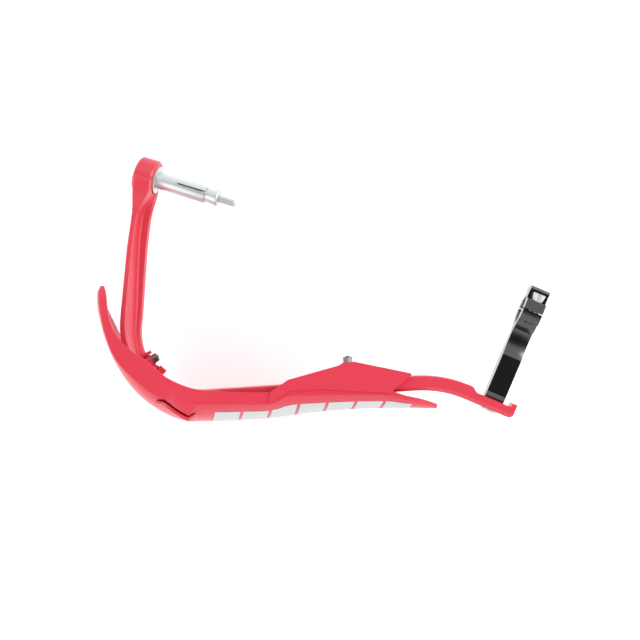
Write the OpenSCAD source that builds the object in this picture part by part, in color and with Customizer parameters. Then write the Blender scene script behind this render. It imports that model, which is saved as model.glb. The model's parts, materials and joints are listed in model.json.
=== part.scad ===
// Closed motorcycle hand guard for the right end of a handlebar, fitted as a pair of supports:
// an expander in the open end of the handlebar tube and a clamp round the tube further inboard.
// The origin is the middle of the clamp bore. +X runs along the bore, inboard. +Y points
// rearward, to the rider, and +Z points up. All sizes are in millimetres.

/* [Handlebar] */
// Outside diameter of the handlebar where the clamp sits
handlebar_d = 22.2; // [22:0.1:22.4]
// Inside diameter of the open handlebar end
tube_bore_d = 14; // [13.6:0.1:15]
// Distance along the handlebar from the clamp to the inner face of the eye
reach = 316; // [300:1:335]
// How far the eye lies in front of the clamp bore
eye_set_forward = 18; // [12:1:24]
// How far the eye lies below the clamp bore
eye_drop = 30; // [20:1:40]
// Angle of the handlebar end to the clamp bore, seen from above
end_sweep = 5.5; // [3:0.5:8]
// Angle at which the handlebar end falls away outboard
end_fall = 11; // [8:0.5:14]

/* [Rail] */
// Thickness of the rail, front to rear
rail_t = 11.8; // [11:0.1:13]
// Height of the rail along its front run
rail_h = 24; // [22:0.5:27]
// Height of the rail just behind the eye
leg_h_rear = 19; // [17:0.5:22]
// Height of the rail as it enters the corner
leg_h_front = 27; // [25:0.5:28]
// Inner radius of the rail's bend at the outer front corner
corner_r = 55; // [50:1:60]
// Height of the step from the rail down to the clamp seat
seat_step = 3.3; // [2.8:0.1:3.8]
// Length of the clamp seat, between its two shoulders
seat_len = 28; // [26:0.5:32]
// Width of the hook that ends the rail inboard
hook_w = 4.5; // [3.5:0.1:6]
// How far the clamp bolt may slide in the seat
seat_travel = 10; // [6:0.5:12]

/* [Eye] */
// Diameter of the eye round the handlebar bolt
eye_d = 30; // [28:0.5:33]
// Width of the eye along the handlebar bolt
eye_w = 16; // [15:0.5:18]

/* [Shield] */
// Wall of the shield
wall = 2.6; // [2.2:0.1:3]
// Wall of the flat saddle that covers the rail
saddle_t = 3; // [2.6:0.1:3.6]
// Height of the saddle's underside over the clamp axis
saddle_z = 12.4; // [12.2:0.1:14]
// Depth of the air slot beside the outer corner
slot_depth = 7; // [5:0.5:9]
// Width of the air slot
slot_w = 1.8; // [1.4:0.1:2.2]
// Thickness of the pale blocks on the front face
block_t = 0.3; // [0.2:0.05:0.5]
// Number of pale blocks on the front face
block_count = 7; // [5:1:7]
// Length of each pale block
block_len = 20; // [16:0.5:21]
// Distance from one pale block to the next
block_pitch = 22.5; // [22:0.5:26]
// Lean of each block's ends
block_lean = 9; // [4:0.5:12]

/* [Clamp] */
// Width of the clamp along the handlebar
clamp_w = 15.6; // [14:0.1:18]
// Distance from the handlebar axis to the foot of the clamp
arm_len = 74.3; // [70:0.1:85]
// Thickness of the arm, top to bottom
arm_h = 20; // [18:0.5:22]
// Outside radius of the clamp round the handlebar
ring_r = 17.5; // [16.8:0.1:18.5]
// Height of the lugs that take the clamp screws
lug_h = 44; // [43:0.5:48]
// Distance from the end of a lug to the middle of its screw
lug_edge = 5.4; // [5:0.1:5.6]
// Gap between the clamp's two halves
split = 0.8; // [0.4:0.1:1.2]
// How far the clamp reaches behind the handlebar axis
cap_rear = 20.4; // [19.6:0.1:22]

/* [Fasteners] */
// Diameter of the clamp screws and of the bolt in the handlebar end
screw_d = 6; // [5:1:6]
// Diameter of the bolt in the clamp's foot
seat_bolt_d = 8; // [6:1:8]
// Diameter of the two studs that hold the shield
shield_screw_d = 4; // [4:0.5:5]
// Width across the flats of the two shield nuts
nut_af = 7; // [7:0.5:8]
// Height of the two shield nuts
nut_h = 4.2; // [3:0.1:5]
// Clearance of a screw in a plain hole
hole_gap = 0.3; // [0.2:0.05:0.5]
// Clearance of a screw in its thread
thread_gap = 0.03; // [0.01:0.01:0.05]
// Length of the slotted expander sleeve
sleeve_len = 41.5; // [35:0.5:45]
// Length of the cone nut that shows past the sleeve
cone_len = 11; // [9:0.5:13]
// Length of the bolt that shows past the cone nut
tip_len = 14.5; // [8:0.5:18]

/* [Hidden] */
$fn = 64;
// Overlap of a cut with the face that it starts from
eps = 0.01;
screw_span = lug_h - 2 * lug_edge;
red = [0.85, 0.13, 0.18];
black = [0.10, 0.10, 0.11];
steel = [0.72, 0.73, 0.74];
dark_steel = [0.50, 0.48, 0.47];
pale = [0.88, 0.90, 0.90];

function mix(a, b, k) = a + (b - a) * k;
function smooth(a, b, x) = let (k = min(1, max(0, (x - a) / (b - a)))) k * k * (3 - 2 * k);
function unit(v) = v / norm(v);

// Plan of the rail's centre line: straight stretches joined by arcs
eye_axis = [cos(end_fall) * cos(end_sweep), cos(end_fall) * sin(end_sweep), sin(end_fall)];
eye_centre = [-reach - eye_axis.x * eye_w / 2, -eye_set_forward, -eye_drop];
seat_y = -arm_len;
rail_rear_y = seat_y + seat_step;
run_end_y = rail_rear_y - rail_t / 2;
rail_end_x = seat_len / 2 + hook_w;
// Knee of the leg and outer corner, measured from the eye, and the turn into the level end
knee_in = 15;
knee_forward = 54;
corner_in = 56;
corner_forward = 173;
turn_out = 43;
knee = [eye_centre.x + knee_in, eye_centre.y - knee_forward];
corner = [eye_centre.x + corner_in, eye_centre.y - corner_forward];
turn = [-turn_out, run_end_y];
knee_r = 300;
turn_r = 90;

// Points of an arc of radius r that rounds the vertex v between a and b
function round_vertex(a, v, b, r, steps) =
    let (u = unit(a - v))
    let (w = unit(b - v))
    let (half = acos(u * w) / 2)
    let (c = v + unit(u + w) * r / sin(half))
    let (p = v + u * r / tan(half) - c)
    let (q = v + w * r / tan(half) - c)
    let (start = atan2(p.y, p.x))
    let (swing = (atan2(q.y, q.x) - start + 540) % 360 - 180)
    [for (i = [0:steps]) c + r * [cos(start + swing * i / steps), sin(start + swing * i / steps)]];

eye_plan = [eye_centre.x, eye_centre.y];
rail_plan = concat([eye_plan],
    round_vertex(eye_plan, knee, corner, knee_r, 4),
    round_vertex(knee, corner, turn, corner_r, 30),
    round_vertex(corner, turn, [rail_end_x, run_end_y], turn_r, 10),
    [[rail_end_x, run_end_y]]);
rail_run = [for (i = 0, sum = 0; i < len(rail_plan);
    sum = sum + (i + 1 < len(rail_plan) ? norm(rail_plan[i + 1] - rail_plan[i]) : 0), i = i + 1) sum];
rail_len = rail_run[len(rail_run) - 1];
rail_x = [for (i = [0:len(rail_plan) - 1]) [rail_run[i], rail_plan[i].x]];
rail_y = [for (i = [0:len(rail_plan) - 1]) [rail_run[i], rail_plan[i].y]];
// Distance along the rail at the middle of the corner's arc, from which the shield is laid out
mid_corner = (rail_run[6] + rail_run[36]) / 2;

// Place on the rail's centre line at the distance s from the eye
function rail_xy(s) = [lookup(s, rail_x), lookup(s, rail_y)];
function rail_z(s) = -eye_drop * pow(1 - s / rail_len, 2);
function rail_point(s) = [rail_xy(s).x, rail_xy(s).y, rail_z(s)];
// Horizontal direction square to the rail, towards the hand
function rail_side(s) =
    let (d = unit(rail_xy(min(s + 2, rail_len)) - rail_xy(max(s - 2, 0))))
    [-d.y, d.x, 0];
// Place at the offset n from the centre line, at the height z over the clamp axis
function beside(s, n, z) = let (p = rail_xy(s)) [p.x, p.y, z] + n * rail_side(s);

// Section of the rail at the eye, a plain block
function eye_section() = let (a = eye_w / 2 - 0.3, b = eye_d / 2 - 1.2) [
    [-a + 1.2, -b], [-a, -b + 1.2], [-a, 0], [-a, b - 1.2], [-a + 1.2, b],
    [a - 1.2, b], [a, b - 1.2], [a, 6], [a, 2], [a, 0],
    [a, -3], [a, -6], [a, -9], [a, -b + 1.2], [a - 1.2, -b]];
// Section of the leg: an upright web on the outer side over a flange on the inner side
function leg_section(h) = let (a = rail_t / 2, b = h / 2, w = mix(-1, 1.6, (h - leg_h_rear) / 8)) [
    [-a + 0.7, -b], [-a, -b + 1.2], [-a - 0.3, 0], [-a, b - 1.2], [-a + 0.9, b],
    [-a + 4, b], [-a + 4.7, b - 0.8], [mix(-a + 4.7, w, 0.5), 2], [w, -b + 7.4], [w - 0.2, -b + 6.2],
    [w + 0.8, -b + 5], [a - 0.9, -b + 4.3], [a, -b + 3.4], [a, -b + 1], [a - 0.8, -b]];
// Section of the front run: a flat bar with its front upper edge bevelled
function run_section() = let (a = rail_t / 2, b = rail_h / 2) [
    [-a + 1, -b], [-a, -b + 1], [-a, -1], [-a + 0.2, b - 3.4], [-a + 3.2, b - 0.2],
    [a - 1, b], [a, b - 0.8], [a, 2], [a, -2], [a, -4],
    [a, -6], [a, -8], [a, -10], [a, -b + 0.8], [a - 1, -b]];
function rail_section(s) =
    let (h = mix(leg_h_rear, leg_h_front, smooth(20, mid_corner - 30, s)))
    let (leg = mix(eye_section(), leg_section(h), smooth(6, 34, s)))
    mix(leg, run_section(), smooth(mid_corner - 6, mid_corner + 40, s));
// Ring of points round the rail, rolled with the handlebar end and level in the front run
function rail_ring(s) =
    let (near_eye = 1 - smooth(0, 36, s))
    let (flat = unit(mix(rail_side(s), [eye_axis.x, eye_axis.y, 0], near_eye)))
    let (roll = end_fall * (1 - smooth(mid_corner - 60, mid_corner, s)))
    let (side = cos(roll) * flat + [0, 0, sin(roll)])
    let (rise = [0, 0, cos(roll)] - sin(roll) * flat)
    let (section = rail_section(s))
    [for (i = [len(section) - 1:-1:0]) rail_point(s) + section[i].x * side + section[i].y * rise];

// Closed solid through a list of rings, each with the same number of points
module loft(rings) {
    n = len(rings[0]);
    last = len(rings) - 1;
    polyhedron(
        points = [for (ring = rings) for (p = ring) p],
        faces = concat(
            [[for (j = [0:n - 1]) j]],
            [for (i = [0:last - 1]) for (j = [0:n - 1])
                [i * n + j, (i + 1) * n + j, (i + 1) * n + (j + 1) % n]],
            [for (i = [0:last - 1]) for (j = [0:n - 1])
                [i * n + j, (i + 1) * n + (j + 1) % n, i * n + (j + 1) % n]],
            [[for (j = [n - 1:-1:0]) last * n + j]]));
}

// Frame at the eye with its Z along the handlebar end, starting at the eye's inner face
module at_eye() {
    translate(eye_centre + eye_axis * eye_w / 2)
        rotate([0, 90 - end_fall, end_sweep])
            children();
}
// Frame on the rail with its Z square to the rail and towards the hand
module at_rail(s) {
    side = rail_side(s);
    translate(rail_point(s))
        rotate([0, 90, atan2(side.y, side.x)])
            children();
}
// Frame of a clamp screw, with its Z pointing rearward
module at_clamp_screw(side) {
    translate([0, 0, side * screw_span / 2])
        rotate([-90, 0, 0])
            children();
}
module round_bar(r, from, to) {
    translate([0, 0, from])
        cylinder(r = r, h = to - from);
}
module washer(hole_r, rim_r, t) {
    difference() {
        cylinder(r = rim_r, h = t);
        round_bar(hole_r, -1, t + 1);
    }
}
// Hexagonal key recess, cut downwards from z = 0
module key_recess(across, depth) {
    translate([0, 0, -depth])
        cylinder(d = across / cos(30), h = depth + 1, $fn = 6);
}

// Places of the two shield fixings along the rail, and how far their bosses stand off it
outer_fix_back = 10.5;
inner_fix_on = 163;
outer_fix = mid_corner - outer_fix_back;
inner_fix = mid_corner + inner_fix_on;
outer_boss_end = 9.5;
inner_boss_end = 19.2;
// Depth inside the rail's web at which its boss, ears and peg start
boss_root = -3;
shield_washer_r = shield_screw_d / 2 + 2.5;
shield_washer_t = 0.8;
// Studs in the shield: floors of their blind bores, and how they end
outer_stud_floor = -13;
inner_stud_floor = -12;
stud_boss_floor = 1.4;
stud_tip_gap = 0.4;
stud_past_nut = 0.8;
stud_chamfer = 0.5;

module main_bar() {
    steps = ceil(rail_len / 6);
    bolt_hole_r = screw_d / 2 + hole_gap;
    color(red)
    difference() {
        union() {
            loft([for (i = [0:steps]) rail_ring(rail_len * i / steps)]);
            at_eye()
                eye_boss();
            at_rail(outer_fix)
                round_bar(5.5, boss_root, outer_boss_end);
            at_rail(outer_fix - 7.6)
                nut_ear(12);
            at_rail(outer_fix + 8)
                nut_ear(10.4);
            at_rail(outer_fix + 13.5)
                round_bar(3.4, boss_root, 12.2);
        }
        at_eye()
            union() {
                round_bar(bolt_hole_r, -eye_w - 1, 1);
                round_bar(head_bore_r, -eye_w - 1, -head_bore_floor);
                round_bar(eye_washer_r + 1, 0, eye_w);
            }
        for (s = [outer_fix, inner_fix])
            at_rail(s)
                round_bar(shield_screw_d / 2 + hole_gap, -rail_h, rail_h);
        seat_cuts();
    }
}
head_bore_r = screw_d / 2 + 3.4;
head_bore_floor = 8.4;
module eye_boss() {
    r = eye_d / 2;
    c = 1.6;
    translate([0, 0, -eye_w])
        rotate_extrude()
            polygon([[0, 0], [r - c, 0], [r, c], [r, eye_w - c], [r - c, eye_w], [0, eye_w]]);
}
// Small ear that keeps the outer nut from turning
module nut_ear(reach_out) {
    translate([-5, -1.3, boss_root])
        cube([10, 2.6, reach_out - 3 - boss_root]);
    translate([-2.4, -1.3, boss_root])
        cube([4.8, 2.6, reach_out - boss_root]);
}
// Flat seat for the clamp's foot between its two shoulders, and the slot for the clamp bolt
module seat_cuts() {
    half = seat_len / 2;
    lean = 6;
    corner_round = 4;
    slot_r = seat_bolt_d / 2 + hole_gap;
    front = rail_rear_y - rail_t;
    translate([0, 0, -rail_h])
        linear_extrude(2 * rail_h) {
            polygon(concat(
                [[half + 0.8, seat_y + seat_step + 1], [half, seat_y]],
                [for (k = [0:0.125:1]) [-half - lean * k, seat_y + seat_step * smooth(0, 1, k)]],
                [[-half - lean, seat_y + seat_step + 1]]));
            // rounded front corner of the hook
            translate([rail_end_x - corner_round, front - 1])
                difference() {
                    square([corner_round + 1, corner_round + 1]);
                    translate([0, corner_round + 1])
                        circle(r = corner_round);
                }
        }
    long_slot(slot_r, seat_travel, front - 5, seat_y + 5);
    long_slot(washer_r + 0.4, seat_travel, front - 5, front + washer_sink);
}
// Slot along X that runs in depth from y0 to y1
module long_slot(r, travel, y0, y1) {
    for (x = [-travel / 2, travel / 2])
        translate([x, y0, 0])
            rotate([-90, 0, 0])
                cylinder(r = r, h = y1 - y0);
    translate([-travel / 2, y0, -r])
        cube([travel, y1 - y0, 2 * r]);
}

// Layout of the shield. Each row is a station at a distance from the middle of the corner:
// offset of the upper wall's rear edge, of its front crease and of the face's foremost line,
// then the heights of the upper wall, of the foremost line and of the lower edge.
stations = [
    [-75, -21.0, -22.6, -24.0, 7, 4.5, 2],
    [-70, -18.9, -24.0, -26.4, 9, 2, -7],
    [-56, -16.4, -22.4, -25.6, 11, -3, -24],
    [-46, -13.2, -19.8, -22.8, 12, -7, -38],
    [-36, -7.4, -16.6, -19.6, 12.5, -10, -50],
    [-26, -0.6, -14.4, -17.6, 13, -12, -60],
    [-16, 6.0, -11.6, -16.6, 13, -14, -68],
    [-6, 9.0, -8.8, -16.6, 13.5, -15, -75],
    [14, 9.4, -7.0, -17.6, 14, -17, -84],
    [24, 9.2, -5.6, -18.6, 14, -18, -87],
    [34, 8.2, -4.8, -19.6, 14, -19, -89],
    [44, 6.8, -5.0, -19.6, 14, -20, -90],
    [54, 5.6, -5.5, -19.8, 14, -20, -91],
    [74, 3.0, -6.8, -20.2, 14, -20, -92],
    [96, 1.2, -8.3, -20.2, 14, -20, -91],
    [105, 1.6, -7.0, -20.0, 14, -20, -89],
    [114, 3.0, -3.4, -19.4, 14, -20, -86],
    [134, 3.0, -3.9, -18.0, 14, -18, -79],
    [154, 2.0, -4.9, -17.6, 14, -16, -71],
    [174, 0.0, -6.1, -17.6, 14, -13, -61],
    [194, -3.6, -8.0, -18.5, 13.6, -10, -49],
    [204, -8.0, -11.2, -19.2, 12.2, -8, -41],
    [214, -11.0, -13.6, -20.0, 10.4, -6, -32],
    [224, -13.3, -15.6, -20.4, 8, -4, -22],
    [235, -15.9, -17.2, -19.6, 4.5, -2.5, -10]];
first_station = stations[0][0];
last_station = stations[len(stations) - 1][0];

// Smooth value of a column of the stations at the distance d
function slope(i, c) =
    let (a = max(i - 1, 0), b = min(i + 1, len(stations) - 1))
    (stations[b][c] - stations[a][c]) / (stations[b][0] - stations[a][0]);
function station_before(d) =
    max([0, for (i = [0:len(stations) - 2]) if (stations[i][0] <= d) i]);
function column(d, c) =
    let (i = station_before(d))
    let (w = stations[i + 1][0] - stations[i][0])
    let (k = (d - stations[i][0]) / w)
    let (p = stations[i][c], q = stations[i + 1][c])
    let (m = slope(i, c) * w, n = slope(i + 1, c) * w)
    p + k * m + k * k * (3 * (q - p) - 2 * m - n) + k * k * k * (2 * (p - q) + m + n);

// Curve of the front face from a crease [n, z] to the foremost line, at the share k of its way
start_angle = 28;
function face_curve(crease, front, k) =
    let (a = mix(start_angle, 90, k))
    [mix(crease.x, front.x, (sin(a) - sin(start_angle)) / (1 - sin(start_angle))),
        front.y + (crease.y - front.y) * cos(a) / cos(start_angle)];
// Curve of the lower face, which tucks back towards its lower edge
tuck = 0.16;
function lower_curve(front, low, k) =
    [front.x + tuck * (front.y - low) * k * k, mix(front.y, low, k)];

// Air slot beside the outer corner: it runs obliquely outwards from slot_from to slot_to
slot_from = 20;
slot_to = 39;
slot_start_n = -6.3;
slot_slant = 0.43;
lip_w = 2.5;
function slot_edge(d) = slot_start_n - slot_slant * (d - slot_from);
function slot_share(d) = smooth(slot_from - 5, slot_from + 1, d) * (1 - smooth(slot_to - 1, slot_to + 3, d));

face_shares = [0.52, 0.64, 0.76, 0.88, 1];
lower_shares = [0.25, 0.5, 0.75, 1];
// Section of the shield at the distance d, as [n, z] pairs
function shield_section(d) =
    let (rear = column(d, 1), top = column(d, 4), low = column(d, 6))
    let (crease = [column(d, 2), top])
    let (front = [column(d, 3), column(d, 5)])
    let (open = slot_share(d))
    let (t = min(wall, (crease.y - low) / 3))
    let (edge = slot_edge(d))
    let (edge_z = top - 1.2)
    let (lip = [edge - slot_w - lip_w, top - 0.9])
    let (floor_z = edge_z - slot_depth)
    let (plain = [for (k = [0.08, 0.16, 0.24, 0.32, 0.4]) face_curve(crease, front, k)])
    let (cut = [[edge, edge_z], [edge - 0.3, floor_z], [edge - slot_w + 0.2, floor_z],
        [edge - slot_w, lip.y], lip])
    let (face = [for (k = face_shares)
        mix(face_curve(crease, front, k), face_curve(lip, front, k - 0.36 * (1 - k)), open)])
    let (lower = [for (k = lower_shares) lower_curve(front, low, k)])
    let (inner_lower = [for (i = [3:-1:0]) lower[i] + [t, i == 3 ? 0.2 : 0]])
    let (inner_face = [for (i = [4:-1:0]) let (k = face_shares[i])
        face[i] + t * [0.35 + 0.65 * k, -0.9 * (1 - k)]])
    let (inner_plain = [face_curve(crease, front, 0.3) + t * [0.55, -0.8],
        face_curve(crease, front, 0.12) + t * [0.4, -0.95], [crease.x + 0.2 * t, top - t]])
    let (inner_cut = [[edge - slot_w * 0.6, floor_z - t], [edge + 0.8 * t, floor_z - t],
        [edge + 0.8 * t, top - t - 0.4]])
    concat([[rear, top], crease], mix(plain, cut, open), face, lower, inner_lower, inner_face,
        mix(inner_plain, inner_cut, open), [[rear, top - t]]);
function shield_ring(d) =
    let (s = mid_corner + d)
    let (base = rail_xy(s), side = rail_side(s))
    [for (p = shield_section(d)) [base.x, base.y, p.y] + p.x * side];

// Bosses of the shield in front of the rail and behind it, and their gap to the rail
stud_places = [[outer_fix, outer_stud_floor], [inner_fix, inner_stud_floor]];
front_boss_r = 4.6;
rear_boss_r = 6;
rail_gap = 0.3;
module shield() {
    count = 66;
    color(red)
    difference() {
        union() {
            loft([for (i = [0:count]) shield_ring(mix(first_station, last_station, i / count))]);
            saddle();
            for (fix = stud_places)
                at_rail(fix[0])
                    round_bar(front_boss_r, fix[1] - stud_boss_floor, -rail_t / 2 - rail_gap);
            at_rail(inner_fix)
                round_bar(rear_boss_r, rail_t / 2 + rail_gap, inner_boss_end);
        }
        for (fix = stud_places)
            at_rail(fix[0])
                round_bar(shield_screw_d / 2 + thread_gap, fix[1], 0);
        at_rail(inner_fix)
            round_bar(shield_screw_d / 2 + hole_gap, 0, inner_boss_end + 1);
    }
}
// Flat saddle over the straight run of the rail, and the rib that ties its boss to it
module saddle() {
    start = mid_corner + 60;
    base = rail_xy(start);
    side = rail_side(start);
    translate([base.x, base.y, saddle_z])
        rotate([0, 0, atan2(side.y, side.x) - 90])
            translate([-60, 0, 0])
                linear_extrude(saddle_t)
                    polygon([[98, -8.2], [101, 1.4], [115, 9.8], [155, 18.2], [159.5, 20.2],
                        [168, 20.4], [211.5, 8.4], [212, 7], [194.5, -5.8], [166, -2.6],
                        [142, 0.6], [116, 1.2], [108, -3.5]]);
    rib_top = saddle_z + saddle_t / 2 - rail_z(inner_fix);
    at_rail(inner_fix)
        translate([-rib_top, -2, rail_t / 2 + rail_gap])
            cube([rib_top - 3, 4, inner_boss_end - rail_t / 2 - rail_gap - 1]);
}

// Place on the front face of the shield: the share k runs 0 to 1 from the crease to the
// foremost line and on to 2 at the lower edge; lift is the height over the surface
function face_place(d, k, lift) =
    let (crease = [column(d, 2), column(d, 4)])
    let (front = [column(d, 3), column(d, 5)])
    let (p = k < 1 ? face_curve(crease, front, k) : lower_curve(front, column(d, 6), k - 1))
    beside(mid_corner + d, p.x - lift, p.y);
block_start = 56;
block_top = 0.26;
block_low = 1.5;
block_lift = 0.2;
// Grid of places for one block at the height lift over the face
block_rows = 10;
block_cols = 4;
function block_grid(b, lift) = [for (i = [0:block_cols])
    let (left = block_start + b * block_pitch + block_len * i / block_cols)
    [for (j = [0:block_rows]) face_place(left - block_lean * j / block_rows,
        mix(block_top, block_low, j / block_rows), lift)]];
// Thin plate between two grids whose cells are split along the same diagonals
module plate(outer, inner) {
    rows = len(outer[0]);
    last = len(outer) - 1;
    count = len(outer) * rows;
    rim = concat(
        [for (i = [0:last]) i * rows],
        [for (j = [1:rows - 1]) last * rows + j],
        [for (i = [last - 1:-1:0]) i * rows + rows - 1],
        [for (j = [rows - 2:-1:1]) j]);
    polyhedron(
        points = concat([for (row = outer) for (p = row) p], [for (row = inner) for (p = row) p]),
        faces = concat(
            [for (i = [0:last - 1]) for (j = [0:rows - 2]) let (a = i * rows + j)
                [a, a + rows, a + rows + 1]],
            [for (i = [0:last - 1]) for (j = [0:rows - 2]) let (a = i * rows + j)
                [a, a + rows + 1, a + 1]],
            [for (i = [0:last - 1]) for (j = [0:rows - 2]) let (a = count + i * rows + j)
                [a, a + rows + 1, a + rows]],
            [for (i = [0:last - 1]) for (j = [0:rows - 2]) let (a = count + i * rows + j)
                [a, a + 1, a + rows + 1]],
            [for (i = [0:len(rim) - 1]) let (a = rim[i], b = rim[(i + 1) % len(rim)])
                [a, count + a, count + b]],
            [for (i = [0:len(rim) - 1]) let (a = rim[i], b = rim[(i + 1) % len(rim)])
                [a, count + b, b]]));
}
// Plain slanted pale blocks laid side by side along the front face
module shield_blocks() {
    color(pale)
    for (b = [0:block_count - 1])
        plate(block_grid(b, block_lift + block_t), block_grid(b, block_lift));
}

// Side outline in the YZ plane, pulled across the clamp's width
module clamp_slab(outline) {
    translate([-clamp_w / 2, 0, 0])
        rotate([90, 0, 90])
            linear_extrude(clamp_w)
                polygon(outline);
}
module across(r, y, z) {
    translate([-clamp_w, y, z])
        rotate([0, 90, 0])
            cylinder(r = r, h = 2 * clamp_w);
}
// Front face of the lugs, how far their tops fall towards it, and the waist of the arm
lug_y = -7.9;
lug_fall = 2.2;
waist_r = 29.75;
waist_y = -24;
waist_h = 13;
// Bevel of the foot, along the arm and in height
foot_bevel_y = 5;
foot_bevel_z = 1.5;
split_y = 1;
seat_thread_depth = 26;
module clamp_body() {
    top = lug_h / 2;
    half_arm = arm_h / 2;
    face = split_y - split / 2;
    lug_top = [for (k = [0:0.2:1]) [mix(face, lug_y, k), top - lug_fall * k * k]];
    color(black)
    difference() {
        union() {
            intersection() {
                translate([-clamp_w / 2, 0, 0])
                    rotate([0, 90, 0])
                        cylinder(r = ring_r, h = clamp_w, $fn = 96);
                translate([-clamp_w, face - 60, -40])
                    cube([2 * clamp_w, 60, 80]);
            }
            clamp_slab(concat(lug_top, [for (i = [len(lug_top) - 1:-1:0]) [lug_top[i].x, -lug_top[i].y]]));
            difference() {
                clamp_slab([[lug_y, -half_arm], [lug_y, half_arm], [foot_bevel_y - arm_len, half_arm],
                    [-arm_len, half_arm - foot_bevel_z], [-arm_len, foot_bevel_z - half_arm],
                    [foot_bevel_y - arm_len, -half_arm]]);
                for (side = [-1, 1])
                    across(waist_r, waist_y, side * (waist_r + waist_h / 2));
            }
        }
        across(handlebar_d / 2, 0, 0);
        for (side = [-1, 1])
            at_clamp_screw(side)
                round_bar(screw_d / 2 + thread_gap, lug_y - 1, face + 1);
        translate([0, -arm_len - 1, 0])
            rotate([-90, 0, 0])
                cylinder(r = seat_bolt_d / 2 + thread_gap, h = seat_thread_depth + 1);
    }
}
cap_lug_y = 9.4;
pocket_z = 10.6;
module clamp_cap() {
    top = lug_h / 2;
    face = split_y + split / 2;
    upper = [[face, top], [cap_lug_y - 0.6, top - 1.4], [cap_lug_y, top - 2], [cap_lug_y, pocket_z],
        [cap_rear - 3.8, pocket_z], [cap_rear - 3.8, pocket_z + 2.2],
        [cap_rear - 2.2, pocket_z + 2.2], [cap_rear, pocket_z - 1.2]];
    color(black)
    difference() {
        clamp_slab(concat(upper, [for (i = [len(upper) - 1:-1:0]) [upper[i].x, -upper[i].y]]));
        across(handlebar_d / 2, 0, 0);
        for (side = [-1, 1])
            at_clamp_screw(side)
                round_bar(screw_d / 2 + hole_gap, 0, cap_lug_y + 1);
    }
}
// Clamp screw with a cone head that stands in the pocket behind the cap's lug
module clamp_screw(side) {
    head_len = 6.2;
    r = screw_d / 2;
    head_end = cap_lug_y + head_len;
    color(steel)
    at_clamp_screw(side)
        difference() {
            rotate_extrude()
                polygon([[0, lug_y + 0.5], [r, lug_y + 0.5], [r, cap_lug_y],
                    [r + 0.8, cap_lug_y], [r + 2, head_end], [0, head_end]]);
            translate([0, 0, head_end])
                key_recess(4, 3);
        }
}

washer_r = 7.4;
washer_t = 1.2;
washer_sink = 2;
washer_y = rail_rear_y - rail_t + washer_sink - washer_t;
// Frame of the bolt in the clamp's foot, with its Z pointing forward from its washer's face
module at_seat_bolt() {
    translate([0, washer_y, 0])
        rotate([90, 0, 0])
            children();
}
module seat_washer() {
    color(steel)
    at_seat_bolt()
        translate([0, 0, -washer_t])
            washer(seat_bolt_d / 2 + hole_gap, washer_r, washer_t);
}
// Low domed bolt through the seat's slot into the clamp's foot
module seat_bolt() {
    head_h = 3.4;
    dome = 2.4;
    flat_r = 1.5;
    r = seat_bolt_d / 2 + 2.6;
    shank_end = washer_y + arm_len - seat_thread_depth + 2;
    color(steel)
    at_seat_bolt()
        difference() {
            rotate_extrude()
                polygon(concat(
                    [[0, shank_end], [seat_bolt_d / 2, shank_end], [seat_bolt_d / 2, 0], [r, 0]],
                    [for (a = [0:10:90])
                        [flat_r + (r - flat_r) * cos(a), head_h - dome + dome * sin(a)]],
                    [[0, head_h]]));
            translate([0, 0, head_h])
                key_recess(5, 2.4);
        }
}

eye_washer_t = 2;
eye_washer_r = tube_bore_d / 2 + 4;
bolt_head_h = 5.8;
head_washer_t = 1.2;
module bar_end_bolt() {
    end = eye_washer_t + sleeve_len + cone_len + tip_len;
    r = screw_d / 2;
    head_z = -head_bore_floor - head_washer_t;
    color(steel)
    at_eye()
        difference() {
            rotate_extrude()
                polygon([[0, head_z - bolt_head_h], [r + 2, head_z - bolt_head_h],
                    [r + 2, head_z], [r, head_z], [r, end - 1], [r - 0.8, end], [0, end]]);
            translate([0, 0, head_z - bolt_head_h])
                mirror([0, 0, 1])
                    key_recess(5, 3);
        }
}
module bolt_head_washer() {
    color(steel)
    at_eye()
        translate([0, 0, -head_bore_floor - head_washer_t])
            washer(screw_d / 2 + hole_gap, head_bore_r - 0.4, head_washer_t);
}
module eye_washer() {
    color(steel)
    at_eye()
        washer(screw_d / 2 + hole_gap, eye_washer_r, eye_washer_t);
}
sleeve_r = tube_bore_d / 2 - 0.2;
mouth_len = 6;
mouth_r = sleeve_r - 1.1;
// Length of the sleeve beside the washer that has no slots
plain_len = 17.5;
// Sleeve with four slots that the cone nut spreads inside the handlebar
module expander_sleeve() {
    end = eye_washer_t + sleeve_len;
    slot_len = sleeve_len - plain_len;
    color(steel)
    at_eye()
        difference() {
            round_bar(sleeve_r, eye_washer_t, end);
            round_bar(screw_d / 2 + hole_gap, 0, end + 1);
            translate([0, 0, end - mouth_len])
                cylinder(r1 = screw_d / 2 + hole_gap, r2 = mouth_r, h = mouth_len + eps);
            for (turn_by = [0, 90])
                rotate([0, 0, 165 + turn_by])
                    translate([-sleeve_r - 1, -0.7, end - slot_len])
                        cube([2 * sleeve_r + 2, 1.4, slot_len + 1]);
        }
}
// Nut whose cone sits in the sleeve's mouth
cone_gap = 0.15;
cone_nose = 3.6;
cone_rim = 1.2;
module cone_nut() {
    start = eye_washer_t + sleeve_len;
    end = start + cone_len;
    hole_r = screw_d / 2 + thread_gap;
    nose_r = mix(screw_d / 2 + hole_gap, mouth_r, 1 - cone_nose / mouth_len) - cone_gap;
    color(steel)
    at_eye()
        rotate_extrude()
            polygon([[hole_r, start - cone_nose], [nose_r, start - cone_nose],
                [mouth_r - cone_gap, start], [sleeve_r - 0.3, end - cone_rim],
                [sleeve_r - 1.1, end], [hole_r, end]]);
}

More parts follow.
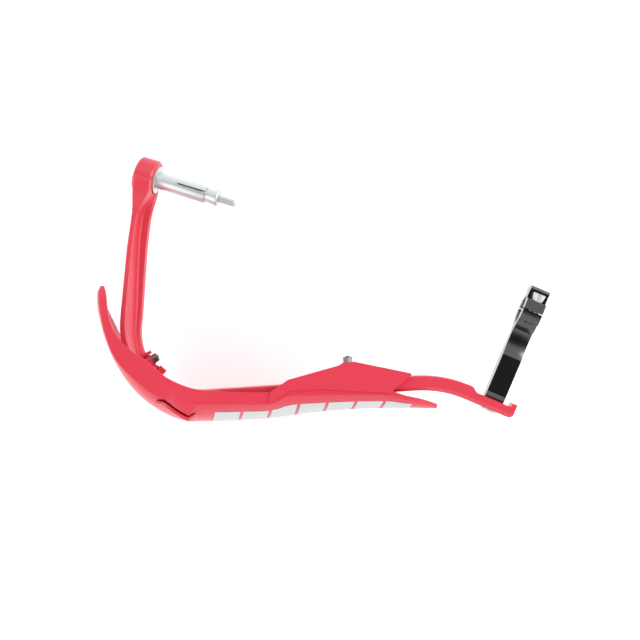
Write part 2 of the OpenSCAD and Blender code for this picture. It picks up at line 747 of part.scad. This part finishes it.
// Stud set in the shield's blind boss, with its tip chamfered
module shield_stud(s, bore_floor, boss_end) {
    r = shield_screw_d / 2;
    from = bore_floor + stud_tip_gap;
    end = boss_end + shield_washer_t + nut_h + stud_past_nut;
    color(dark_steel)
    at_rail(s)
        rotate_extrude()
            polygon([[0, from], [r, from], [r, end - stud_chamfer], [r - stud_chamfer, end], [0, end]]);
}
module shield_washer(s, boss_end) {
    color(dark_steel)
    at_rail(s)
        translate([0, 0, boss_end])
            washer(shield_screw_d / 2 + hole_gap, shield_washer_r, shield_washer_t);
}
module shield_nut(s, boss_end) {
    from = boss_end + shield_washer_t;
    r = nut_af / 2 / cos(30);
    color(dark_steel)
    at_rail(s)
        difference() {
            intersection() {
                translate([0, 0, from])
                    cylinder(r = r, h = nut_h, $fn = 6);
                translate([0, 0, from])
                    cylinder(r1 = r + nut_h * 0.6, r2 = nut_af / 2, h = nut_h);
            }
            round_bar(shield_screw_d / 2 + thread_gap, from - 1, from + nut_h + 1);
        }
}
module clamp_screw_upper() {
    clamp_screw(1);
}
module clamp_screw_lower() {
    clamp_screw(-1);
}
module outer_shield_stud() {
    shield_stud(outer_fix, outer_stud_floor, outer_boss_end);
}
module outer_shield_washer() {
    shield_washer(outer_fix, outer_boss_end);
}
module outer_shield_nut() {
    shield_nut(outer_fix, outer_boss_end);
}
module inner_shield_stud() {
    shield_stud(inner_fix, inner_stud_floor, inner_boss_end);
}
module inner_shield_washer() {
    shield_washer(inner_fix, inner_boss_end);
}
module inner_shield_nut() {
    shield_nut(inner_fix, inner_boss_end);
}

main_bar();
shield();
shield_blocks();
clamp_body();
clamp_cap();
clamp_screw_upper();
clamp_screw_lower();
seat_bolt();
seat_washer();
bar_end_bolt();
bolt_head_washer();
eye_washer();
expander_sleeve();
cone_nut();
outer_shield_stud();
outer_shield_washer();
outer_shield_nut();
inner_shield_stud();
inner_shield_washer();
inner_shield_nut();
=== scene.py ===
import bpy
import bmesh
import json
from math import cos, pi, radians, tan
from mathutils import Matrix, Vector


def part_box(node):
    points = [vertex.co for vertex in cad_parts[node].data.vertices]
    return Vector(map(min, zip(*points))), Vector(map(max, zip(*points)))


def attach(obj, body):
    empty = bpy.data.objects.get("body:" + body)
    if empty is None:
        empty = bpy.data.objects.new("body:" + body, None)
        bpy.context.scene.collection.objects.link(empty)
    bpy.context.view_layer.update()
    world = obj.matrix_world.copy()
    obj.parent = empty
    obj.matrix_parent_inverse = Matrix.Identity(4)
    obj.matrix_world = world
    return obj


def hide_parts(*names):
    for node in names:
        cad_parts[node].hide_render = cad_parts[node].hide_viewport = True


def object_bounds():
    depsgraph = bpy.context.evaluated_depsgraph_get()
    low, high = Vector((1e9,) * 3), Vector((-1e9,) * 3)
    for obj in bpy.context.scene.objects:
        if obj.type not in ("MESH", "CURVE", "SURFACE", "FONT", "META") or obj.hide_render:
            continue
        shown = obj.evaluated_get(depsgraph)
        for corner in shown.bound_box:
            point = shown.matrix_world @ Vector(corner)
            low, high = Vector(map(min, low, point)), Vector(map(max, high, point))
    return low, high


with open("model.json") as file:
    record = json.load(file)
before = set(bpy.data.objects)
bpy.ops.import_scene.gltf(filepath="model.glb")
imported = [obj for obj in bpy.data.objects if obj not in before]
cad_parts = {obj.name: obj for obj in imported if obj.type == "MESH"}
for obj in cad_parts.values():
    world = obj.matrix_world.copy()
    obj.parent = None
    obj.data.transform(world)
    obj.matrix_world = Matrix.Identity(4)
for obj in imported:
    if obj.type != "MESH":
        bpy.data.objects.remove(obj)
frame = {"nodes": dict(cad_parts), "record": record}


def plainBounds():
    low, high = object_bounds()
    return [[float(v) for v in low], [float(v) for v in high]]


sizeBefore = plainBounds()
scene = bpy.context.scene
cadNodes = frame["nodes"]
record = frame["record"]
slotOf = {part["node"]: part["material_slot"] for part in record["subparts"]}
white = (1, 1, 1, 1)
print("stage: frame loaded,", len(cadNodes), "nodes")


def linearColour(hexCode):
    # sRGB hex to linear RGBA
    out = []
    for i in (1, 3, 5):
        c = int(hexCode[i:i + 2], 16) / 255
        out.append(c / 12.92 if c <= 0.04045 else ((c + 0.055) / 1.055) ** 2.4)
    return (out[0], out[1], out[2], 1.0)


def addNode(tree, kind, values=None, links=None, **settings):
    # values go into sockets by name or number, and links are other nodes' outputs
    node = tree.nodes.new(kind)
    for name, setting in settings.items():
        setattr(node, name, setting)
    for socket, value in (values or {}).items():
        node.inputs[socket].default_value = value
    for socket, output in (links or {}).items():
        tree.links.new(output, node.inputs[socket])
    return node


# One finish for each material slot. Grain spacing and depth are in mm. Real grain is finer than
# any of these and wouldn't show, so each is drawn as coarse as it needs to be seen.
finishes = {
    # injection moulded nylon, dyed right through: an even red with a satin gloss
    "red_nylon": {"name": "redNylon", "colour": "#E84355", "roughness": 0.28, "patchy": 0.01,
                  "metallic": 0, "grainMm": 0.9, "grainDepthMm": 0.0012},
    # printed vinyl film, stuck on flat: pale grey, duller than the nylon
    "pale_film": {"name": "paleFilm", "colour": "#D9DDDC", "roughness": 0.4, "patchy": 0.04,
                  "metallic": 0, "grainMm": 0.6, "grainDepthMm": 0.004},
    # aluminium, bead blasted and anodised black: soft dark reflections
    "black_anodised": {"name": "blackAnodised", "colour": "#5E5E5F", "roughness": 0.2,
                       "patchy": 0.04, "metallic": 1, "grainMm": 0.35, "grainDepthMm": 0.003},
    # steel, bright zinc plated: a pale milky metal
    "zinc_steel": {"name": "zincSteel", "colour": "#DBE0E1", "roughness": 0.46, "patchy": 0.04,
                   "metallic": 1, "grainMm": 0.5, "grainDepthMm": 0.004},
    # steel, zinc plate gone dull: a brownish grey metal
    "dull_steel": {"name": "dullSteel", "colour": "#7E7A78", "roughness": 0.4, "patchy": 0.04,
                   "metallic": 1, "grainMm": 0.5, "grainDepthMm": 0.006},
}
grainDetail = 2
grainStrength = 0.3


def newMaterial(name, colour, roughness, patchy, metallic, grainMm, grainDepthMm):
    mat = bpy.data.materials.new(name)
    mat.use_nodes = True
    tree = mat.node_tree
    tree.nodes.clear()
    coord = addNode(tree, "ShaderNodeTexCoord")
    grain = addNode(tree, "ShaderNodeTexNoise",
                    {"Scale": 1000 / grainMm, "Detail": grainDetail},
                    {"Vector": coord.outputs["Object"]})
    # roughness wanders a little round its value
    gloss = addNode(tree, "ShaderNodeMapRange",
                    {"To Min": roughness - patchy, "To Max": roughness + patchy},
                    {"Value": grain.outputs["Fac"]})
    bump = addNode(tree, "ShaderNodeBump",
                   {"Strength": grainStrength, "Distance": grainDepthMm / 1000},
                   {"Height": grain.outputs["Fac"]})
    surface = addNode(tree, "ShaderNodeBsdfPrincipled",
                      {"Base Color": linearColour(colour), "Metallic": metallic},
                      {"Roughness": gloss.outputs["Result"], "Normal": bump.outputs["Normal"]})
    addNode(tree, "ShaderNodeOutputMaterial", links={"Surface": surface.outputs["BSDF"]})
    return mat


materials = {slot: newMaterial(**finish) for slot, finish in finishes.items()}
print("stage: materials")

# fine rounded edges: their width in mm on the clamp and on the other nodes
rounding = {"clamp_body": 0.45, "clamp_cap": 0.4, "other": 0.15, "segments": 2, "fromDeg": 35}
# corners of a node's triangles closer than this, in metres, are one
mergeDist = 0.000005


def roundEdges(obj, widthMm):
    bevel = obj.modifiers.new("bevel", "BEVEL")
    bevel.width = widthMm / 1000
    bevel.segments = rounding["segments"]
    bevel.limit_method = "ANGLE"
    bevel.angle_limit = radians(rounding["fromDeg"])
    bevel.use_clamp_overlap = True
    return bevel


for name, node in cadNodes.items():
    node.data.materials.clear()
    node.data.materials.append(materials[slotOf[name]])
    weld = node.modifiers.new("weld", "WELD")
    weld.merge_threshold = mergeDist
    roundEdges(node, rounding.get(name, rounding["other"]))
print("stage: materials on the carried-over nodes")


def shadeByAngle(bm, sharpDeg):
    for face in bm.faces:
        face.smooth = True
    for edge in bm.edges:
        edge.smooth = edge.calc_face_angle(0.0) < radians(sharpDeg)


def finishPiece(bm, name, node):
    # writes the mesh, gives it the node's finish, sets it riding on the root, and hides the node
    # it takes the place of
    mesh = bpy.data.meshes.new(name)
    bm.to_mesh(mesh)
    bm.free()
    # a node's own flat normals would hide the smooth shading
    flatNormals = mesh.attributes.get("custom_normal")
    if flatNormals:
        mesh.attributes.remove(flatNormals)
    slotName = slotOf[node]
    mesh.materials.append(materials[slotName])
    piece = bpy.data.objects.new(name, mesh)
    scene.collection.objects.link(piece)
    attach(piece, "root")
    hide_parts(node)
    return piece


# moulded pieces and film: the node's own shape with its facets shaded as one surface
mouldings = {
    "railMoulding": {"node": "main_bar", "sharpDeg": 30, "edgeMm": 0.5},
    "shieldMoulding": {"node": "shield", "sharpDeg": 30, "edgeMm": 0.35},
    "filmBlocks": {"node": "shield_blocks", "sharpDeg": 40, "edgeMm": 0},
}
for name, moulding in mouldings.items():
    bm = bmesh.new()
    bm.from_mesh(cadNodes[moulding["node"]].data)
    bmesh.ops.remove_doubles(bm, verts=bm.verts, dist=mergeDist)
    shadeByAngle(bm, moulding["sharpDeg"])
    piece = finishPiece(bm, name, moulding["node"])
    if moulding["edgeMm"]:
        roundEdges(piece, moulding["edgeMm"]).harden_normals = True
print("stage: moulded pieces")

# the ridge's flat crest in shares of a pitch, the length in mm that it starts inside its shank,
# the distance in mm that counts as touching, and the angle past which an edge stays sharp
thread = {"crestFrom": 0.42, "crestTo": 0.58, "runIn": 0.5, "touching": 0.001, "sharpDeg": 30}


def spinOutline(bm, outline, steps, turns=1, rise=0):
    # turns an outline of (radius, height) pairs round Z, closed where it doesn't rise
    verts = [bm.verts.new((r, 0, z)) for r, z in outline]
    edges = [bm.edges.new(pair) for pair in zip(verts, verts[1:])]
    bmesh.ops.spin(bm, geom=verts + edges, cent=(0, 0, 0), axis=(0, 0, 1),
                   dvec=(0, 0, rise / steps), angle=2 * pi * turns, steps=steps * turns,
                   use_merge=rise == 0, use_duplicate=False)


def threadRidge(bm, s):
    # one pitch of the ridge is wound round Z, then cut level at both ends
    core = s["shankR"] - s["threadDepth"]
    pitch = s["pitch"]
    first = s["threadFrom"] - 2 * pitch
    turns = int((s["end"] - first) / pitch) + 2
    outline = [(core, first), (s["shankR"], first + thread["crestFrom"] * pitch),
               (s["shankR"], first + thread["crestTo"] * pitch), (core, first + pitch)]
    spinOutline(bm, outline, s["sides"], turns, pitch)
    bmesh.ops.remove_doubles(bm, verts=bm.verts, dist=thread["touching"])
    for height, way in ((s["threadFrom"] - thread["runIn"], -1), (s["end"], 1)):
        geom = bm.verts[:] + bm.edges[:] + bm.faces[:]
        cut = bmesh.ops.bisect_plane(bm, geom=geom, plane_co=(0, 0, height),
                                     plane_no=(0, 0, way), clear_outer=True)
        rim = [g for g in cut["geom_cut"] if isinstance(g, bmesh.types.BMEdge)]
        bmesh.ops.contextual_create(bm, geom=rim)
    # the tip tapers from the shank's radius to its own
    for v in bm.verts:
        limit = s["tipR"] + (s["end"] - v.co.z) * (s["shankR"] - s["tipR"]) / s["tipChamfer"]
        r = v.co.xy.length
        if r > limit:
            v.co.xy *= limit / r


def finishThreaded(bm, start, axis, name, node):
    # from mm along Z to metres along the piece's own axis
    bmesh.ops.recalc_face_normals(bm, faces=bm.faces)
    shadeByAngle(bm, thread["sharpDeg"])
    place = Matrix.Translation(start) @ axis.to_track_quat("Z", "Y").to_matrix().to_4x4()
    bmesh.ops.transform(bm, matrix=place @ Matrix.Scale(0.001, 4), verts=bm.verts)
    finishPiece(bm, name, node)


# long bolt of the handlebar end, measured along its axis from the eye's inner face, in mm
barBolt = {"headFrom": -15.4, "headTo": -9.6, "headR": 5, "headChamfer": 0.5, "keyAcross": 5,
           "keyDepth": 3, "shankR": 3, "threadFrom": 46, "end": 69, "pitch": 1,
           "threadDepth": 0.55, "tipChamfer": 1, "tipR": 2.2, "sides": 48, "eyeWasher": 2}


def headAndShank(bm, s):
    top = s["headFrom"]
    outline = [(s["headR"] - s["headChamfer"], top), (s["headR"], top + s["headChamfer"]),
               (s["headR"], s["headTo"]), (s["shankR"], s["headTo"]),
               (s["shankR"], s["threadFrom"]), (s["shankR"] - s["threadDepth"], s["threadFrom"])]
    spinOutline(bm, outline, s["sides"])
    rims = [e for e in bm.edges if e.is_boundary]
    topRim = [e for e in rims if all(abs(v.co.z - top) < thread["touching"] for v in e.verts)]
    bmesh.ops.contextual_create(bm, geom=[e for e in rims if e not in topRim])
    # hexagonal recess for the key, measured across its flats
    key = bmesh.ops.create_circle(bm, segments=6, radius=s["keyAcross"] / 2 / cos(pi / 6),
                                  matrix=Matrix.Translation((0, 0, top)))
    keyRim = list(dict.fromkeys(e for v in key["verts"] for e in v.link_edges))
    bmesh.ops.bridge_loops(bm, edges=topRim + keyRim)
    deep = bmesh.ops.extrude_edge_only(bm, edges=keyRim)["geom"]
    bmesh.ops.translate(bm, verts=[g for g in deep if isinstance(g, bmesh.types.BMVert)],
                        vec=(0, 0, s["keyDepth"]))
    bmesh.ops.contextual_create(bm, geom=[g for g in deep if isinstance(g, bmesh.types.BMEdge)])


expander = next(m for m in record["mounts"] if m["name"] == "bar_end_expander")
boltAxis = Vector(expander["axis"])
toEyeMm = expander["dims"]["length_mm"] / 2 + barBolt["eyeWasher"]
eyeFace = Vector(expander["pos_m"]) - boltAxis * toEyeMm / 1000
bm = bmesh.new()
threadRidge(bm, barBolt)
# the head is made apart, because the thread's cuts go through all that is in their mesh
head = bmesh.new()
headAndShank(head, barBolt)
headMesh = bpy.data.meshes.new("boltHead")
head.to_mesh(headMesh)
head.free()
bm.from_mesh(headMesh)
bpy.data.meshes.remove(headMesh)
finishThreaded(bm, eyeFace, boltAxis, "barEndBolt", "bar_end_bolt")
print("stage: threaded bolt")

# threaded studs of the shield, measured from the end in the shield, in mm
stud = {"lengths": {"outer": 27.9, "inner": 36.6}, "shankR": 2, "threadFrom": 0.5, "pitch": 0.7,
        "threadDepth": 0.4, "tipChamfer": 0.5, "tipR": 1.5, "sides": 32, "pastWasher": 5.4}


def middleOf(nodeName):
    low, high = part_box(nodeName)
    return (Vector(low) + Vector(high)) / 2


for which, length in stud["lengths"].items():
    nodeName = which + "_shield_stud"
    # the washer's flat gives the stud's direction, and its middle a point on the stud's axis
    washerName = which + "_shield_washer"
    washerFaces = cadNodes[washerName].data.polygons
    studAxis = max(washerFaces, key=lambda face: face.area).normal.copy()
    if studAxis.dot(middleOf(washerName) - middleOf(nodeName)) < 0:
        studAxis.negate()
    start = middleOf(washerName) - studAxis * (length - stud["pastWasher"]) / 1000
    bm = bmesh.new()
    threadRidge(bm, dict(stud, end=length))
    finishThreaded(bm, start, studAxis, which + "ShieldStud", nodeName)
print("stage: threaded studs")

# pale floor just under the lowest point; its glow makes it white where little shades it
ground = {"middle": (-0.15, -0.07), "size": 6, "drop": 0.0005, "colour": "#F4F4F4",
          "roughness": 0.9, "glow": 0.42}
floorZ = sizeBefore[0][2] - ground["drop"]
bpy.ops.mesh.primitive_plane_add(size=ground["size"], location=(*ground["middle"], floorZ))
floor = bpy.context.active_object
floor.name = "floor"
floorMat = bpy.data.materials.new("floorPaint")
floorMat.use_nodes = True
tree = floorMat.node_tree
tree.nodes.clear()
paint = addNode(tree, "ShaderNodeBsdfPrincipled",
                {"Base Color": linearColour(ground["colour"]), "Roughness": ground["roughness"]})
# the glow shows to the camera and in gloss, and lights nothing else
rays = addNode(tree, "ShaderNodeLightPath")
seenBy = rays.outputs["Is Camera Ray"]
for rayKind in ("Is Glossy Ray", "Is Transmission Ray"):
    either = addNode(tree, "ShaderNodeMath", links={0: seenBy, 1: rays.outputs[rayKind]},
                     operation="MAXIMUM")
    seenBy = either.outputs[0]
strength = addNode(tree, "ShaderNodeMath", {1: ground["glow"]}, {0: seenBy},
                   operation="MULTIPLY")
glow = addNode(tree, "ShaderNodeEmission", {"Color": white}, {"Strength": strength.outputs[0]})
both = addNode(tree, "ShaderNodeAddShader",
               links={0: paint.outputs["BSDF"], 1: glow.outputs["Emission"]})
addNode(tree, "ShaderNodeOutputMaterial", links={"Surface": both.outputs["Shader"]})
floor.data.materials.append(floorMat)

# Light tent: bright towards the horizon, with a dark gap overhead. How far a direction leans off
# straight up tells them apart, and X counts for less there, so the gap is longer along X.
tent = {"axisWeights": (0.45, 1, 0), "gapTo": 0.18, "brightFrom": 0.46, "gapLight": 0.08,
        "sideLight": 1.04}
world = bpy.data.worlds.new("tent")
scene.world = world
world.use_nodes = True
tree = world.node_tree
tree.nodes.clear()
coord = addNode(tree, "ShaderNodeTexCoord")
weighted = addNode(tree, "ShaderNodeVectorMath", {1: tent["axisWeights"]},
                   {0: coord.outputs["Generated"]}, operation="MULTIPLY")
lean = addNode(tree, "ShaderNodeVectorMath", links={0: weighted.outputs["Vector"]},
               operation="LENGTH")
ramp = addNode(tree, "ShaderNodeMapRange",
               {"From Min": tent["gapTo"], "From Max": tent["brightFrom"],
                "To Min": tent["gapLight"], "To Max": tent["sideLight"]},
               {"Value": lean.outputs["Value"]}, interpolation_type="SMOOTHSTEP")
background = addNode(tree, "ShaderNodeBackground", {"Color": white},
                     {"Strength": ramp.outputs["Result"]})
addNode(tree, "ShaderNodeOutputWorld", links={"Surface": background.outputs["Background"]})

# two soft boxes aimed at the guard's middle: sizes and places in metres, energy in watts
softBoxes = {
    "keyLight": {"place": (0.9, 0.7, 0.9), "energy": 8, "size": 0.7},
    "fillLight": {"place": (-0.9, -0.8, 0.8), "energy": 2.4, "size": 0.8},
}
for name, box in softBoxes.items():
    light = bpy.data.lights.new(name, "AREA")
    light.shape = "SQUARE"
    light.size = box["size"]
    light.energy = box["energy"]
    lamp = bpy.data.objects.new(name, light)
    scene.collection.objects.link(lamp)
    lamp.location = box["place"]
    aim = Vector((*ground["middle"], 0)) - Vector(box["place"])
    lamp.rotation_euler = aim.to_track_quat("-Z", "Y").to_euler()
print("stage: floor and light")

# camera straight above, rolled as in the photograph
view = {"place": (-0.1504, -0.0699, 1.45), "rollDeg": 23.0, "fovDeg": 19.8, "sensorMm": 36}
camData = bpy.data.cameras.new("photoCamera")
camData.sensor_width = view["sensorMm"]
camData.lens = view["sensorMm"] / 2 / tan(radians(view["fovDeg"] / 2))
camera = bpy.data.objects.new("photoCamera", camData)
scene.collection.objects.link(camera)
camera.location = view["place"]
camera.rotation_euler = (0, 0, radians(view["rollDeg"]))
scene.camera = camera
scene.view_settings.view_transform = "Standard"
print("stage: camera")
